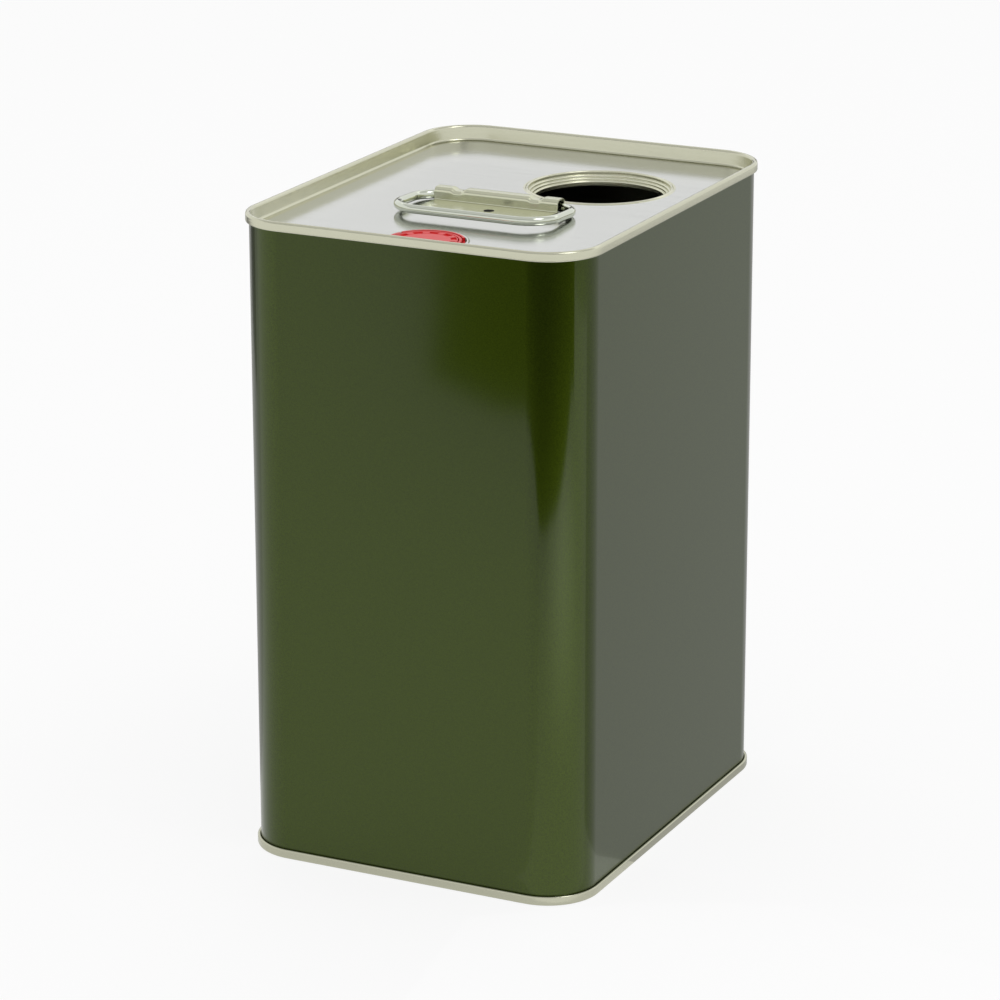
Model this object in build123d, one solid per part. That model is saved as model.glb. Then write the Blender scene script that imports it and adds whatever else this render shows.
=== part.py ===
from build123d import *
import math
import os

# The tin over its seams, resting on its bottom rim, with the origin under its middle
tin_width = 117.0
tin_depth = 149.0
tin_height = 205.0
wall_corner_radius = 16.2

# Sheet metal
body_sheet = 0.28
end_sheet = 0.30
pressed_bend = 0.12
layer_gap = 0.07

# Double seams
seam_height = 3.0
hook_room = 0.25
hook_bend = 0.15
body_hook_bend = 0.20
rim_bend = 0.50
seal_clearance = 0.02

# Sunk panels of the two ends
lid_sink = 5.0
base_sink = 4.6
foot_bend = 0.8
panel_margin = 1.2
base_step_inset = 9.0
base_step_run = 1.4
base_step_rise = 0.9
base_step_bend = 0.2

# Welded lap down the middle of the back wall
lap_width = 1.2
lap_rise = 0.12
lap_end_gap = 0.1

# Open neck in the lid, stepped inwards on its way down
neck_x = 18.7
neck_y = 27.4
neck_mouth_radius = 22.25
neck_ledges = 3
neck_ledge = 0.62
neck_drop = 0.85
neck_last_drop = 1.8
neck_hem = 1.1
neck_bead_crest = 0.63
neck_bead_slope = 0.45
neck_bead_rise = 0.35
neck_margin = 0.6

# Well in the lid for the pourer, close to the front wall
well_x = 0.9
well_wall_margin = 0.2
well_sink = 1.8
well_hole_radius = 10.4
well_bead_crest = 0.65
well_bead_slope = 0.4
well_bead_rise = 0.5
well_margin = 0.3

# Pull-up pourer: socket, washer, spout, cap and ring
socket_rim_radius = 12.0
socket_well_gap = 0.3
socket_rim_wall = 0.7
socket_rim_rise = 0.7
socket_flange = 0.8
socket_hole_gap = 0.1
socket_barrel_wall = 1.2
socket_length = 17.2
socket_snap = 0.5
socket_snap_length = 1.3
snap_gap = 0.1
lip_drop = 5.2
lip_thickness = 0.8
washer_thickness = 0.4
washer_gap = 0.15
slide_gap = 0.05
spout_wall = 1.0
spout_stop = 1.0
spout_lip_bevel = 0.35
cap_lift = 0.1
cap_thickness = 1.1
cap_ring_gap = 0.3
cap_skirt_wall = 1.1
cap_skirt_gap = 0.2
cap_skirt_length = 4.9
cap_slots = 11
cap_slot_depth = 0.6
cap_slot_width = 1.8
cap_slot_edge = 0.35
cap_slot_fill_share = 0.62
cap_dimple_radius = 0.9
cap_dimple_depth = 0.25
liner_thickness = 0.8
liner_gap = 0.1
ring_width = 0.9
ring_thickness = 0.9
ring_wall_gap = 0.25
ring_tab_angle = 46.0
ring_tab_reach = 1.0
ring_tab_thickness = 0.5
ring_notch_angle = 54.0
ring_relief_angle = 68.0
ring_web_width = 3.0
ring_web_thickness = 0.24
ring_web_gap = 0.05

# Wire handle, lying on the lid with its front leg a little raised
wire_diameter = 2.8
handle_x = 1.5
handle_length = 53.0
handle_reach = 26.0
handle_front_radius = 10.0
handle_back_radius = 8.0
handle_tilt = 2.6
handle_joint_gap = 1.0
wire_lid_gap = 0.1

# Folded bracket over the handle's back leg
bracket_x = 0.6
bracket_length = 42.1
bracket_sheet = 0.4
bracket_front = 10.0
bracket_flange = 11.5
bracket_height = 4.2
bracket_play = 0.85
bracket_back_gap = 0.9
bracket_crease_bend = 0.3
bracket_curl_bend = 1.2
crimp_spacing = 26.4
crimp_width = 5.5
crimp_wire_gap = 0.1
crimp_bend = 0.25

# Spot welds on the bracket's flange
weld_count = 3
weld_pitch = 18.5
weld_shift = 1.0
weld_diameter = 2.0
weld_height = 0.12
weld_setback = 6.8

# What follows from the sizes above
seam_reach = 2 * end_sheet + body_sheet + 3 * layer_gap
wall_step = body_sheet + layer_gap + end_sheet
body_width = tin_width - 2 * seam_reach
body_depth = tin_depth - 2 * seam_reach
body_hook_reach = seam_reach - end_sheet - layer_gap
panel_top = tin_height - lid_sink
panel_edge = wall_step + foot_bend + end_sheet + panel_margin
full_turn = 360
overrun = 1.0


def sheet_face(skin, thickness, bends):
    """Section of a bent sheet: its skin runs through the points, with the metal on the right."""
    points = [Vector(*point) for point in skin]
    runs = [(after - before).normalized() for before, after in zip(points, points[1:])]
    back = []
    skin_radii = [0.0]
    back_radii = [0.0]
    for index, point in enumerate(points):
        before = runs[max(index - 1, 0)]
        after = runs[min(index, len(runs) - 1)]
        right_before = Vector(before.Y, -before.X)
        right_after = Vector(after.Y, -after.X)
        mitre = (right_before + right_after) / (1 + right_before.dot(right_after))
        back.append(point + mitre * thickness)
        if 0 < index < len(points) - 1:
            inner = bends[index - 1]
            turns_right = before.cross(after).Z < 0
            skin_radii.append(inner + thickness if turns_right else inner)
            back_radii.append(inner if turns_right else inner + thickness)
    skin_radii.append(0.0)
    back_radii.append(0.0)
    radii = skin_radii + back_radii[::-1]
    return make_face(FilletPolyline(*points, *back[::-1], radius=radii, close=True))


def around(section):
    """Carry a section, drawn as distance outside the body's wall and height, round the tin."""
    half_width = body_width / 2
    half_depth = body_depth / 2
    corners = [(half_width, -half_depth), (half_width, half_depth),
               (-half_width, half_depth), (-half_width, -half_depth)]
    path = FilletPolyline((0, -half_depth), *corners, radius=[0.0] + 4 * [wall_corner_radius], close=True)
    start = Plane(origin=(0, -half_depth, 0), x_dir=(0, -1, 0), z_dir=(-1, 0, 0))
    return sweep(start * section, path=path)


def panel(edge, low, high):
    """Flat sheet inside the wall, its rim a given distance inside the body's outer face."""
    outline = RectangleRounded(body_width - 2 * edge, body_depth - 2 * edge, wall_corner_radius - edge)
    return Pos(0, 0, low) * extrude(outline, high - low)


def turned(face):
    """Turn a section drawn as radius and height about the upright axis."""
    return revolve(Plane.XZ * face, Axis.Z, full_turn)


def turned_outline(*points):
    return turned(make_face(Polyline(*points, close=True)))


def tube(inner, outer, low, high):
    """Upright ring between two radii and two heights, or a disc when the inner radius is nothing."""
    return turned_outline((inner, low), (outer, low), (outer, high), (inner, high))


def end_section(inner_points, inner_bends, sink):
    """Section of an end: panel, sunk wall, rim and the hook folded under the body's hook."""
    hook_top = tin_height - end_sheet - layer_gap - body_sheet - hook_room
    skin = inner_points + [
        (-wall_step, tin_height - sink),
        (-wall_step, tin_height),
        (seam_reach, tin_height),
        (seam_reach, tin_height - seam_height),
        (layer_gap, tin_height - seam_height),
        (layer_gap, hook_top),
    ]
    bends = inner_bends + [foot_bend, rim_bend, rim_bend, hook_bend, hook_bend]
    return sheet_face(skin, end_sheet, bends)


def upside_down(part):
    """The same end, closing the bottom instead of the top."""
    return Pos(0, 0, tin_height) * (Rot(X=180) * part)


def make_body_shell():
    top = tin_height - end_sheet - layer_gap
    low = tin_height - top
    hook = top - (tin_height - seam_height + end_sheet + hook_room)
    skin = [
        (body_hook_reach, low + hook),
        (body_hook_reach, low),
        (-body_sheet, low),
        (-body_sheet, top),
        (body_hook_reach, top),
        (body_hook_reach, top - hook),
    ]
    shell = around(sheet_face(skin, body_sheet, 4 * [body_hook_bend]))
    lap_start = seam_height + lap_end_gap
    lap_height = tin_height - 2 * lap_start
    lap = Pos(0, body_depth / 2, tin_height / 2) * Box(lap_width, 2 * lap_rise, lap_height)
    return shell + lap


def neck_section():
    """Section of the open neck, from the hem at its foot up and out to the panel."""
    opening = neck_mouth_radius - neck_ledges * neck_ledge
    foot = -(neck_ledges * neck_drop + neck_last_drop)
    skin = [(opening + neck_hem, foot), (opening, foot)]
    bends = [pressed_bend]
    for ledge in range(neck_ledges):
        level = -(neck_ledges - ledge) * neck_drop
        radius = opening + ledge * neck_ledge
        skin += [(radius, level), (radius + neck_ledge, level)]
        bends += [pressed_bend, pressed_bend]
    crest = neck_mouth_radius + neck_bead_crest
    outside = crest + neck_bead_slope
    skin += [(neck_mouth_radius, neck_bead_rise), (crest, neck_bead_rise), (outside, 0)]
    skin += [(outside + neck_margin, 0)]
    bends += [pressed_bend, pressed_bend, pressed_bend]
    return sheet_face(skin, end_sheet, bends)


def well_section():
    """Section of the pourer's well, from the hole up and out over its bead to the panel."""
    wall = socket_rim_radius + socket_well_gap
    crest = wall + well_bead_crest
    skin = [
        (well_hole_radius, -well_sink),
        (wall, -well_sink),
        (wall, well_bead_rise),
        (crest, well_bead_rise),
        (well_bead_radius, 0),
        (well_bead_radius + well_margin, 0),
    ]
    return sheet_face(skin, end_sheet, 4 * [pressed_bend])


well_bead_radius = socket_rim_radius + socket_well_gap + well_bead_crest + well_bead_slope
well_y = -(body_depth / 2 - wall_step - foot_bend - well_bead_radius - well_wall_margin)
neck_place = Pos(neck_x, neck_y, panel_top)
well_place = Pos(well_x, well_y, panel_top)


def make_lid_panel():
    stub = [(-panel_edge, panel_top)]
    rim = around(end_section(stub, [], lid_sink))
    flat = panel(panel_edge, panel_top - end_sheet, panel_top)
    neck_cut = neck_mouth_radius + neck_bead_crest + neck_bead_slope + neck_margin
    flat -= neck_place * Cylinder(neck_cut, 2 * end_sheet + overrun)
    flat -= well_place * Cylinder(well_bead_radius + well_margin, 2 * end_sheet + overrun)
    return rim + flat + neck_place * turned(neck_section()) + well_place * turned(well_section())


def make_base_panel():
    level = tin_height - base_sink
    raised = level + base_step_rise
    step_start = base_step_inset + base_step_run
    edge = step_start + panel_margin
    steps = [(-edge, raised), (-step_start, raised), (-base_step_inset, level)]
    rim = around(end_section(steps, [base_step_bend, base_step_bend], base_sink))
    return upside_down(rim + panel(edge, raised - end_sheet, raised))


def make_lid_seal():
    """Compound that fills the room over the end's hook."""
    low = tin_height - end_sheet - layer_gap - body_sheet - hook_room + seal_clearance
    high = low + hook_room - 2 * seal_clearance
    inner = seal_clearance
    outer = body_hook_reach - body_sheet - seal_clearance
    bend = body_hook_bend - seal_clearance
    outline = FilletPolyline((inner, low), (outer, low), (outer, high), (inner, high),
                             radius=[0.0, 0.0, bend, bend], close=True)
    return around(make_face(outline))


# Heights in the pourer, counted from the lid's panel
washer_top = washer_thickness - well_sink
floor_top = washer_top + socket_flange
cap_base = floor_top + cap_lift
cap_top = cap_base + cap_thickness
spout_top = cap_base - liner_thickness - slide_gap
lip_top = floor_top - lip_drop
lip_base = lip_top - lip_thickness
socket_base = floor_top - socket_length
spout_base = socket_base + slide_gap
stop_top = spout_base + spout_stop
spout_travel = lip_base - stop_top - slide_gap

# Radii in the pourer
barrel_radius = well_hole_radius - socket_hole_gap
bore_radius = barrel_radius - socket_barrel_wall
rim_inner_radius = socket_rim_radius - socket_rim_wall
ring_outer_radius = rim_inner_radius - ring_wall_gap
ring_inner_radius = ring_outer_radius - ring_width
cap_radius = ring_inner_radius - cap_ring_gap
skirt_outer_radius = bore_radius - cap_skirt_gap
skirt_inner_radius = skirt_outer_radius - cap_skirt_wall
spout_outer_radius = skirt_inner_radius - slide_gap
spout_inner_radius = spout_outer_radius - spout_wall
stop_radius = bore_radius - slide_gap
lip_radius = spout_outer_radius + slide_gap
ring_middle_radius = (ring_outer_radius + ring_inner_radius) / 2
ring_top = cap_top
ring_base = ring_top - ring_thickness
ring_pivot = (ring_top + ring_base) / 2


def sector(radius, angle, low, high):
    """Wedge of a disc on the left, as wide as the angle, used to cut out or keep an arc."""
    half = math.radians(angle / 2)
    far = radius / math.cos(half)
    tip = (-far * math.cos(half), far * math.sin(half))
    outline = make_face(Polyline((0, 0), tip, (tip[0], -tip[1]), close=True))
    return Pos(0, 0, low) * extrude(outline, high - low)


def rim_notch(angle, floor):
    """What is cut from the socket's rim on the left, down to a floor."""
    high = socket_rim_rise + overrun
    reach = socket_rim_radius + overrun
    return sector(reach, angle, floor, high) & tube(rim_inner_radius - slide_gap, reach, floor, high)


def make_pourer_socket():
    """The rim is cut away on the left for the ring's tab and on the right for the ring to turn."""
    lid_under = -well_sink - end_sheet
    snap_top = lid_under - snap_gap
    profile = [
        (rim_inner_radius, floor_top),
        (rim_inner_radius, socket_rim_rise),
        (socket_rim_radius, socket_rim_rise),
        (socket_rim_radius, washer_top),
        (barrel_radius, washer_top),
        (barrel_radius, snap_top),
        (barrel_radius + socket_snap, snap_top),
        (barrel_radius, snap_top - socket_snap_length),
        (barrel_radius, socket_base),
        (bore_radius, socket_base),
        (bore_radius, lip_base),
        (lip_radius, lip_base),
        (lip_radius, lip_top),
        (bore_radius, lip_top),
        (bore_radius, floor_top),
    ]
    notch = rim_notch(ring_notch_angle, ring_top - ring_tab_thickness - slide_gap)
    relief = Rot(Z=full_turn / 2) * rim_notch(ring_relief_angle, ring_base - slide_gap)
    return well_place * (turned_outline(*profile) - notch - relief)


def make_pourer_gasket():
    inner = barrel_radius + washer_gap
    return well_place * tube(inner, socket_rim_radius, -well_sink, washer_top)


def make_pourer_spout():
    profile = [
        (spout_inner_radius, spout_base),
        (stop_radius, spout_base),
        (stop_radius, stop_top),
        (spout_outer_radius, stop_top),
        (spout_outer_radius, spout_top),
        (spout_inner_radius + spout_lip_bevel, spout_top),
        (spout_inner_radius, spout_top - spout_lip_bevel),
    ]
    return well_place * turned_outline(*profile)


def make_pourer_cap():
    cap = tube(0, cap_radius, cap_base, cap_top)
    cap += tube(skirt_inner_radius, skirt_outer_radius, cap_base - cap_skirt_length, cap_base)
    slot_outer = cap_radius - cap_slot_edge
    slot_inner = slot_outer - cap_slot_width
    slot_angle = full_turn / cap_slots * cap_slot_fill_share
    slot_floor = cap_top - cap_slot_depth
    slot = tube(slot_inner, slot_outer, slot_floor, cap_top + overrun)
    slot &= sector(cap_radius, slot_angle, slot_floor, cap_top + overrun)
    for index in range(cap_slots):
        cap -= Rot(Z=index * full_turn / cap_slots) * slot
    cap -= tube(0, cap_dimple_radius, cap_top - cap_dimple_depth, cap_top + overrun)
    return well_place * cap


def make_cap_liner():
    return well_place * tube(0, skirt_inner_radius - liner_gap, cap_base - liner_thickness, cap_base)


def make_pull_ring():
    ring = tube(ring_inner_radius, ring_outer_radius, ring_base, ring_top)
    tab_outer = ring_outer_radius + ring_tab_reach
    tab_base = ring_top - ring_tab_thickness
    tab = tube(ring_middle_radius, tab_outer, tab_base, ring_top)
    ring += tab & sector(tab_outer, ring_tab_angle, tab_base, ring_top)
    web_start = cap_radius + ring_web_gap
    web_length = ring_middle_radius - web_start
    web = Box(web_length, ring_web_width, ring_web_thickness)
    return well_place * (ring + Pos(web_start + web_length / 2, 0, ring_pivot) * web)


# Lines that the handle and its bracket share
wire_radius = wire_diameter / 2
bracket_inside = wire_diameter + 2 * bracket_play
bracket_back = bracket_front - bracket_inside - 2 * bracket_sheet
pivot_y = -(bracket_front - bracket_sheet - bracket_play - wire_radius)
pivot_z = panel_top + wire_radius + wire_lid_gap


def make_carry_handle():
    half = handle_length / 2
    points = [
        (-handle_joint_gap / 2, 0),
        (-half, 0),
        (-half, -handle_reach),
        (half, -handle_reach),
        (half, 0),
        (handle_joint_gap / 2, 0),
    ]
    radii = [handle_back_radius, handle_front_radius, handle_front_radius, handle_back_radius]
    path = FilletPolyline(*points, radius=radii)
    start = Plane(origin=(-handle_joint_gap / 2, 0, 0), z_dir=(-1, 0, 0))
    wire = sweep(start * Circle(wire_radius), path=path)
    return Pos(handle_x, pivot_y, pivot_z) * (Rot(X=-handle_tilt) * wire)


def bracket_place(part):
    """Stand a part drawn from the bracket's left end at its place on the lid."""
    return Pos(bracket_x - bracket_length / 2, 0, panel_top) * part


def make_handle_bracket():
    section = Plane(origin=(0, 0, 0), x_dir=(0, 1, 0), z_dir=(1, 0, 0))
    skin = [
        (-bracket_front - bracket_flange, bracket_sheet),
        (-bracket_front, bracket_sheet),
        (-bracket_front, bracket_height),
        (-bracket_back, bracket_height),
        (-bracket_back, bracket_back_gap),
    ]
    bends = [bracket_crease_bend, bracket_curl_bend, bracket_curl_bend]
    strip = extrude(section * sheet_face(skin, bracket_sheet, bends), bracket_length)
    outer_bend = bracket_curl_bend + bracket_sheet
    hull = FilletPolyline((-bracket_front, bracket_back_gap), (-bracket_front, bracket_height),
                          (-bracket_back, bracket_height), (-bracket_back, bracket_back_gap),
                          radius=[0.0, outer_bend, outer_bend, 0.0], close=True)
    inside = extrude(section * make_face(hull), bracket_length)
    wire_top = wire_lid_gap + wire_diameter
    dent_low = wire_top + crimp_wire_gap + bracket_sheet
    width = bracket_front - bracket_back
    for side in (-1, 1):
        middle = bracket_length / 2 + side * crimp_spacing / 2
        left = (middle - crimp_width / 2, bracket_height)
        tip = (middle, dent_low)
        right = (middle + crimp_width / 2, bracket_height)
        across = Plane(origin=(0, -bracket_back, 0), z_dir=(0, -1, 0), x_dir=(1, 0, 0))
        gap = extrude(across * make_face(Polyline(left, tip, right, close=True)), width)
        dent = extrude(across * sheet_face([left, tip, right], bracket_sheet, [crimp_bend]), width)
        strip = strip - gap + (dent & inside)
    return bracket_place(strip)


def make_bracket_welds():
    first = -(weld_count - 1) / 2 * weld_pitch + weld_shift
    height = panel_top + bracket_sheet
    y = -bracket_front - weld_setback
    welds = [
        Pos(bracket_x + first + index * weld_pitch, y, height)
        * extrude(Circle(weld_diameter / 2), weld_height)
        for index in range(weld_count)
    ]
    return Compound(children=welds)


parts = {
    "body_shell": make_body_shell(),
    "lid_panel": make_lid_panel(),
    "base_panel": make_base_panel(),
    "lid_seal": make_lid_seal(),
    "base_seal": upside_down(make_lid_seal()),
    "handle_bracket": make_handle_bracket(),
    "bracket_welds": make_bracket_welds(),
    "carry_handle": make_carry_handle(),
    "pourer_socket": make_pourer_socket(),
    "pourer_gasket": make_pourer_gasket(),
    "pourer_spout": make_pourer_spout(),
    "pourer_cap": make_pourer_cap(),
    "cap_liner": make_cap_liner(),
    "pull_ring": make_pull_ring(),
}

os.makedirs("parts", exist_ok=True)
for name, part in parts.items():
    export_step(part, "parts/" + name + ".step")

print("handle axis (mm)", handle_x, pivot_y, pivot_z)
print("well axis (mm)", well_x, well_y, "panel", panel_top)
print("ring pivot (mm)", well_x + ring_middle_radius, well_y, panel_top + ring_pivot)
print("spout travel (mm)", spout_travel, "cap top", cap_top, "cap radius", cap_radius)
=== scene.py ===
import math

import bmesh
import bpy
from mathutils import Matrix, Vector


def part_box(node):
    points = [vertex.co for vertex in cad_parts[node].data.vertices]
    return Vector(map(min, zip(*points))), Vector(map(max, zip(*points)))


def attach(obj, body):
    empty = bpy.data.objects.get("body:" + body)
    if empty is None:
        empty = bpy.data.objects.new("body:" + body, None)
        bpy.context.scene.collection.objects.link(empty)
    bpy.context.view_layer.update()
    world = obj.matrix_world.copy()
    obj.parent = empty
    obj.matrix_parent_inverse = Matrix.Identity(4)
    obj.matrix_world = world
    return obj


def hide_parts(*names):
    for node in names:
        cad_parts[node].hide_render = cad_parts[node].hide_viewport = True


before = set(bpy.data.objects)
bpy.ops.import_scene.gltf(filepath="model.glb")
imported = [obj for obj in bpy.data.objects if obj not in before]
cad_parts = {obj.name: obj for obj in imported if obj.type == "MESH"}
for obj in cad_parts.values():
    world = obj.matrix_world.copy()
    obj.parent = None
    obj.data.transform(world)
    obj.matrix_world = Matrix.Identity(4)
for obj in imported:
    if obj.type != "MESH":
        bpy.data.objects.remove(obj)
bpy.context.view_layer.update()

MM = 0.001

# The camera, placed to match the photograph
camera_place = Vector((0.5399, -1.1146, 0.4952))
camera_azimuth = 25.963
camera_elevation = 17.596
camera_roll = -0.080
camera_lens = 147.45
camera_reach = 20.0
sensor_width = 36.0

# Colours of the finishes
lacquer_colour = (0.039, 0.061, 0.002, 1.0)
panel_colour = (0.58, 0.59, 0.57, 1.0)
rim_colour = (0.58, 0.58, 0.45, 1.0)
neck_colour = (0.66, 0.66, 0.52, 1.0)
bracket_colour = (0.60, 0.61, 0.46, 1.0)
wire_colour = (0.62, 0.65, 0.56, 1.0)
burnt_colour = (0.006, 0.006, 0.005, 1.0)
red_colour = (0.64, 0.008, 0.010, 1.0)
natural_colour = (0.82, 0.80, 0.74, 1.0)
rubber_colour = (0.03, 0.03, 0.03, 1.0)
foam_colour = (0.80, 0.79, 0.76, 1.0)
compound_colour = (0.25, 0.25, 0.23, 1.0)
table_colour = (0.86, 0.86, 0.86, 1.0)
white = (1.0, 1.0, 1.0, 1.0)
black = (0.0, 0.0, 0.0, 1.0)
# Share that darkens the base's rim: painted shade from the table close under it
foot_painted_shade = 0.88
# Share that darkens the tin's inside: painted shade within the closed tin
inside_painted_shade = 0.6

# How rough the finishes are, where a pair is spread over the grain
panel_roughness = (0.12, 0.17)
seam_roughness = (0.16, 0.24)
neck_roughness = (0.20, 0.28)
bare_roughness = (0.30, 0.40)
wire_roughness = (0.07, 0.11)
bracket_roughness = 0.22
burnt_roughness = 0.7
lacquer_roughness = 0.30
red_roughness = 0.35
slot_roughness = 0.8
natural_roughness = 0.45
rubber_roughness = 0.6
soft_roughness = 0.7
table_roughness = 0.6

# Varnish over the lacquer
varnish_weight = 0.64
varnish_roughness = 0.08
varnish_index = 1.5
lacquer_mottle = 0.2

# Grain of the finishes: its scale, its stretch along X, Y and Z, and its height in millimetres
lacquer_grain = 2600.0
streak_grain = 500.0
sheet_grain = 1500.0
seaming_grain = 6000.0
scorch_grain = 900.0
even_stretch = (1.0, 1.0, 1.0)
streak_stretch = (0.06, 1.0, 1.0)
sheet_stretch = (0.05, 1.0, 1.0)
bracket_stretch = (0.2, 1.0, 1.0)
level_stretch = (0.02, 0.02, 1.0)
fine_detail = 2.0
streak_detail = 3.0
grain_reach = (0.3, 0.7)
grain_depth = 0.05
sheet_bump = 0.02
bracket_bump = 0.05
plastic_bump = 0.08

# Rolled sides: how deep their lines are in millimetres, and how far they lean back in degrees
seam_line_depth = 0.01
seam_lean = 10.0
neck_lean = 4.0

# Lamps and surroundings, in metres, watts and shares of white
top_light_place = (0.0, 0.3, 1.6)
top_light_size = 3.0
top_light_power = 9.0
side_light_place = (0.7, 0.0, 1.6)
side_light_target = (0.0, 0.0, 0.1)
side_light_size = 0.5
side_light_power = 3.0
surroundings_strength = 0.95
table_half = 2.5
table_glow_mirrored = 0.55
table_glow_seen = 0.3

# Cards that the tin mirrors, in metres from its middle, with their brightness as a share of white.
# They are painted reflections: glowing and dark sheets in place of the light and shade around the
# tin.
# The dark floor starts where the near floor's glow ends, and the dark strip stands upright.
card_lift = 0.0003
card_step = 0.0001
far_floor = [(0.08, -0.03), (0.61, -0.165), (2.4, -0.5), (2.4, 2.4), (-2.4, 2.4), (-2.4, -0.3),
             (-0.08, -0.03)]
far_floor_painted_shade = 0.54
glow_edge = [(0.085, -0.44), (0.23, -0.405), (0.59, -0.23), (0.61, -0.165)]
near_floor = [(0.03, -0.09), *glow_edge, (0.80, -0.20), (0.70, 0.20), (0.075, -0.055)]
near_floor_middle = (0.33, -0.27)
near_floor_reach = 0.26
near_floor_painted_glow = 1.7
dark_floor = [(-0.25, -0.585), (-0.20, -0.55), (-0.09, -0.56), (0.01, -0.52), *glow_edge,
              (1.53, -0.327), (1.2, -2.2), (-1.04, -2.2)]
dark_side = [(-0.56, 0.02), (-0.62, 0.25), (-2.0, 1.0), (-2.2, 0.1)]
dark_side_painted_shade = 0.1
ceiling_half = 2.0
ceiling_height = 2.0
ceiling_painted_shade = 0.4
dark_strip = [(-2.4, 0.34), (-0.3, 0.34), (-0.3, 0.60), (-2.4, 0.60)]
dark_strip_distance = 2.2

# How finely round stretches are drawn, with angles in degrees and distances in millimetres
corner_steps = 28
arc_steps = 6
round_steps = 160
crease_angle = 35.0
merge_distance = 0.001

# Sheet metal, in millimetres
body_sheet = 0.28
end_sheet = 0.30
pressed_bend = 0.12
layer_gap = 0.07
seam_height = 3.0
hook_room = 0.25
hook_bend = 0.15
body_hook_bend = 0.20
rim_bend = 0.50
wall_corner_radius = 16.2

# Sunk panels of the two ends
lid_sink = 5.0
base_sink = 4.6
foot_bend = 0.8
panel_margin = 1.2
base_step_inset = 9.0
base_step_run = 1.4
base_step_rise = 0.9
base_step_bend = 0.2

# Welded lap down the back wall, with its bare margins
lap_width = 1.2
lap_rise = 0.12
lap_margin = 3.5
lap_end_gap = 0.1
bare_rise = 0.01

# Open neck, counted from its middle and the lid's panel
neck_x = 18.7
neck_y = 27.4
neck_mouth_radius = 22.25
neck_ledges = 3
neck_ledge = 0.62
neck_drop = 0.85
neck_last_drop = 1.8
neck_hem = 1.1
neck_bead_crest = 0.63
neck_bead_slope = 0.45
neck_bead_rise = 0.35
neck_margin = 0.6

# Well for the pourer
well_sink = 1.8
well_hole_radius = 10.4
socket_rim_radius = 12.0
socket_well_gap = 0.3
well_bead_crest = 0.65
well_bead_slope = 0.4
well_bead_rise = 0.5
well_margin = 0.3

# Wire handle and the bracket over its back leg
wire_diameter = 2.8
handle_front_radius = 10.0
handle_back_radius = 8.0
handle_tilt = 2.6
handle_joint_gap = 1.0
wire_lid_gap = 0.1
wire_steps = 20
bracket_sheet = 0.4
bracket_front = 10.0
bracket_flange = 11.5
bracket_height = 4.2
bracket_back_gap = 0.9
bracket_play = 0.85
bracket_crease_bend = 0.3
bracket_curl_bend = 1.2
bracket_steps = 172
flange_lift = 0.5
flange_lift_run = 8.0
crimp_spacing = 26.4
crimp_width = 5.5
crimp_depth = 0.8
crimp_slope = 1.9
crimp_foot = 1.8

# Spot welds on the bracket's flange
weld_count = 3
weld_pitch = 18.5
weld_shift = 1.0
weld_setback = 6.8
weld_radius = 1.0
weld_height = 0.12
weld_pit_radius = 0.5
scorch_reach = 2.4
scorch_unevenness = 1.6
scorch_edge = 0.15
weld_steps = 24

# Pourer: cap, pull ring and what they share, counted from the lid's panel
well_x = 0.9
washer_thickness = 0.4
socket_flange = 0.8
socket_rim_wall = 0.7
socket_barrel_wall = 1.2
socket_hole_gap = 0.1
cap_lift = 0.1
cap_thickness = 1.1
cap_ring_gap = 0.3
cap_skirt_wall = 1.1
cap_skirt_gap = 0.2
cap_skirt_length = 4.9
cap_slots = 11
cap_slot_depth = 0.45
cap_slot_slope = 0.12
cap_slot_width = 1.8
cap_slot_edge = 0.35
cap_slot_fill_share = 0.62
cap_edge_bend = 0.12
cap_step = 0.08
cap_step_run = 0.15
cap_dimple_radius = 0.9
cap_dimple_depth = 0.25
cap_sector_steps = 24
ring_width = 0.9
ring_thickness = 0.9
ring_wall_gap = 0.25
ring_bend = 0.2
ring_tab_angle = 46.0
ring_tab_reach = 1.0
ring_tab_thickness = 0.5
ring_web_width = 3.0
ring_web_thickness = 0.24
ring_web_gap = 0.05
tab_steps = 24

# What follows from the sizes above
seam_reach = 2 * end_sheet + body_sheet + 3 * layer_gap
wall_step = body_sheet + layer_gap + end_sheet
panel_edge = wall_step + foot_bend + end_sheet + panel_margin
well_wall = socket_rim_radius + socket_well_gap
well_bead_radius = well_wall + well_bead_crest + well_bead_slope
cap_base = washer_thickness - well_sink + socket_flange + cap_lift
ring_outer = socket_rim_radius - socket_rim_wall - ring_wall_gap
ring_inner = ring_outer - ring_width
cap_radius = ring_inner - cap_ring_gap
cap_skirt_outer = well_hole_radius - socket_hole_gap - socket_barrel_wall - cap_skirt_gap
cap_skirt_inner = cap_skirt_outer - cap_skirt_wall


def box_mm(node):
    """Lower and upper corner of a solid's box, in millimetres."""
    low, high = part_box(node)
    return Vector(low) / MM, Vector(high) / MM


lid_low, lid_high = box_mm("lid_panel")
tin_height = lid_high.z
panel_top = tin_height - lid_sink
body_width = lid_high.x - lid_low.x - 2 * seam_reach
body_depth = lid_high.y - lid_low.y - 2 * seam_reach
cap_low, cap_high = box_mm("pourer_cap")
well_y = (cap_low.y + cap_high.y) / 2


def put_in_scene(name, data):
    """Object for a mesh, lamp or camera, linked into the scene."""
    thing = bpy.data.objects.new(name, data)
    bpy.context.scene.collection.objects.link(thing)
    return thing


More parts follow.
